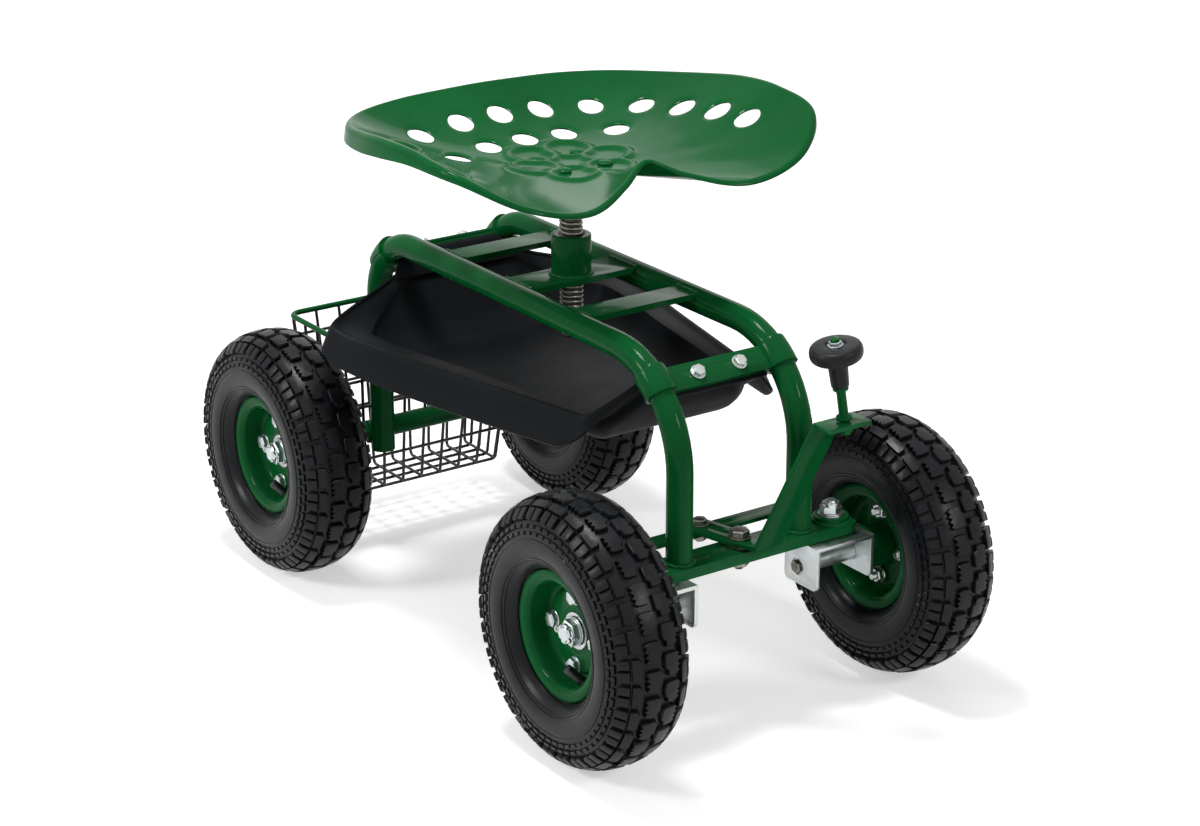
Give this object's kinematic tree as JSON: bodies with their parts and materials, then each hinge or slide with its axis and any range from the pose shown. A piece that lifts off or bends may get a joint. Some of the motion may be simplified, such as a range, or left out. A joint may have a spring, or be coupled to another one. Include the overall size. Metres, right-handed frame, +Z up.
{
  "type": "rolling garden seat",
  "caption": "Low four-wheeled garden work seat with a perforated dished seat on a screw post, hand-lever steering, hung tool tray and wire basket behind.",
  "frame": {"origin": "on the ground, midway between the axles and between the wheels", "axes": "+Z up, -Y the way it is driven, -X the sitter's right"},
  "size_m": [0.442, 0.808, 0.5274],
  "materials": {
    "green_paint": "glossy dark green enamel",
    "black_paint": "satin black coat",
    "zinc": "bright zinc plate",
    "oiled_steel": "dark oiled steel",
    "bearing_steel": "ground steel",
    "black_plastic": "finely grained black plastic",
    "knob_plastic": "smooth satin black plastic",
    "tyre_rubber": "matt black rubber",
    "tube_rubber": "smooth black rubber"
  },
  "bodies": {
    "frame": {"right_rail": "green_paint", "left_rail": "green_paint", "cross_members": "green_paint", "seat_plate": "green_paint", "post_nut": "green_paint", "front_axle_beam": "green_paint", "kingpins": "zinc", "kingpin_nuts": "zinc", "lever_bolt": "zinc", "front_clamp": "green_paint", "rear_clamp": "green_paint", "clamp_bolts": "zinc", "tool_tray": "black_plastic", "rear_axle_tube": "green_paint", "rear_axle": "zinc", "rear_axle_nuts": "zinc", "basket_rim": "green_paint", "basket_wires": "black_paint"},
    "seat_post": {"threaded_post": "oiled_steel"},
    "seat": {"seat_socket": "green_paint", "seat_pan": "green_paint", "seat_bolts": "green_paint", "swivel_lock_bolt": "black_paint"},
    "steering": {"steering_lever": "green_paint", "knob_rod": "green_paint", "knob_nut": "zinc"},
    "knob": {"steering_knob": "knob_plastic"},
    "tie_bar": {"tie_bar": "green_paint", "tie_bolts": "zinc"},
    "right_knuckle": {"right_knuckle": "zinc", "right_stub_axle": "zinc", "right_axle_nut": "zinc"},
    "left_knuckle": {"left_knuckle": "zinc", "left_stub_axle": "zinc", "left_axle_nut": "zinc"},
    "front_right_wheel": {"front_right_tyre": "tyre_rubber", "front_right_inner_tube": "tube_rubber", "front_right_outer_rim": "green_paint", "front_right_inner_rim": "green_paint", "front_right_wheel_bearings": "bearing_steel", "front_right_rim_bolts": "zinc"},
    "front_left_wheel": {"front_left_tyre": "tyre_rubber", "front_left_inner_tube": "tube_rubber", "front_left_outer_rim": "green_paint", "front_left_inner_rim": "green_paint", "front_left_wheel_bearings": "bearing_steel", "front_left_rim_bolts": "zinc"},
    "rear_right_wheel": {"rear_right_tyre": "tyre_rubber", "rear_right_inner_tube": "tube_rubber", "rear_right_outer_rim": "green_paint", "rear_right_inner_rim": "green_paint", "rear_right_wheel_bearings": "bearing_steel", "rear_right_rim_bolts": "zinc"},
    "rear_left_wheel": {"rear_left_tyre": "tyre_rubber", "rear_left_inner_tube": "tube_rubber", "rear_left_outer_rim": "green_paint", "rear_left_inner_rim": "green_paint", "rear_left_wheel_bearings": "bearing_steel", "rear_left_rim_bolts": "zinc"}
  },
  "joints": [
    {"name": "steer_lever", "type": "hinge", "parent": "frame", "child": "steering", "pos_m": [0, -0.274, 0.175], "axis": [0, 0, 1], "range_deg": [-22, 22]},
    {"name": "right_knuckle_steer", "type": "hinge", "parent": "frame", "child": "right_knuckle", "pos_m": [-0.11, -0.274, 0.155], "axis": [0, 0, 1], "range_deg": [-22, 22]},
    {"name": "left_knuckle_steer", "type": "hinge", "parent": "frame", "child": "left_knuckle", "pos_m": [0.11, -0.274, 0.155], "axis": [0, 0, 1], "range_deg": [-22, 22]},
    {"name": "tie_bar_swing", "type": "hinge", "parent": "steering", "child": "tie_bar", "pos_m": [-0.01161, -0.22743, 0.1706], "axis": [0, 0, 1], "range_deg": [-22, 22]},
    {"name": "front_right_spin", "type": "hinge", "parent": "right_knuckle", "child": "front_right_wheel", "pos_m": [-0.18, -0.274, 0.13], "axis": [1, 0, 0], "continuous": true},
    {"name": "front_left_spin", "type": "hinge", "parent": "left_knuckle", "child": "front_left_wheel", "pos_m": [0.18, -0.274, 0.13], "axis": [1, 0, 0], "continuous": true},
    {"name": "rear_right_spin", "type": "hinge", "parent": "frame", "child": "rear_right_wheel", "pos_m": [-0.18, 0.274, 0.13], "axis": [1, 0, 0], "continuous": true},
    {"name": "rear_left_spin", "type": "hinge", "parent": "frame", "child": "rear_left_wheel", "pos_m": [0.18, 0.274, 0.13], "axis": [1, 0, 0], "continuous": true},
    {"name": "seat_height", "type": "slide", "parent": "frame", "child": "seat_post", "axis": [0, 0, 1], "range_m": [-0.028, 0.055]},
    {"name": "seat_swivel", "type": "hinge", "parent": "seat_post", "child": "seat", "pos_m": [0, 0.004, 0.465], "axis": [0, 0, 1], "continuous": true},
    {"name": "knob_spin", "type": "hinge", "parent": "steering", "child": "knob", "pos_m": [0.073, -0.334, 0.297], "axis": [-0.1736, 0, 0.9848], "continuous": true}
  ],
  "couplings": [
    {"joint": "right_knuckle_steer", "follows": "steer_lever", "ratio": 1},
    {"joint": "left_knuckle_steer", "follows": "steer_lever", "ratio": 1},
    {"joint": "tie_bar_swing", "follows": "steer_lever", "ratio": -1}
  ]
}
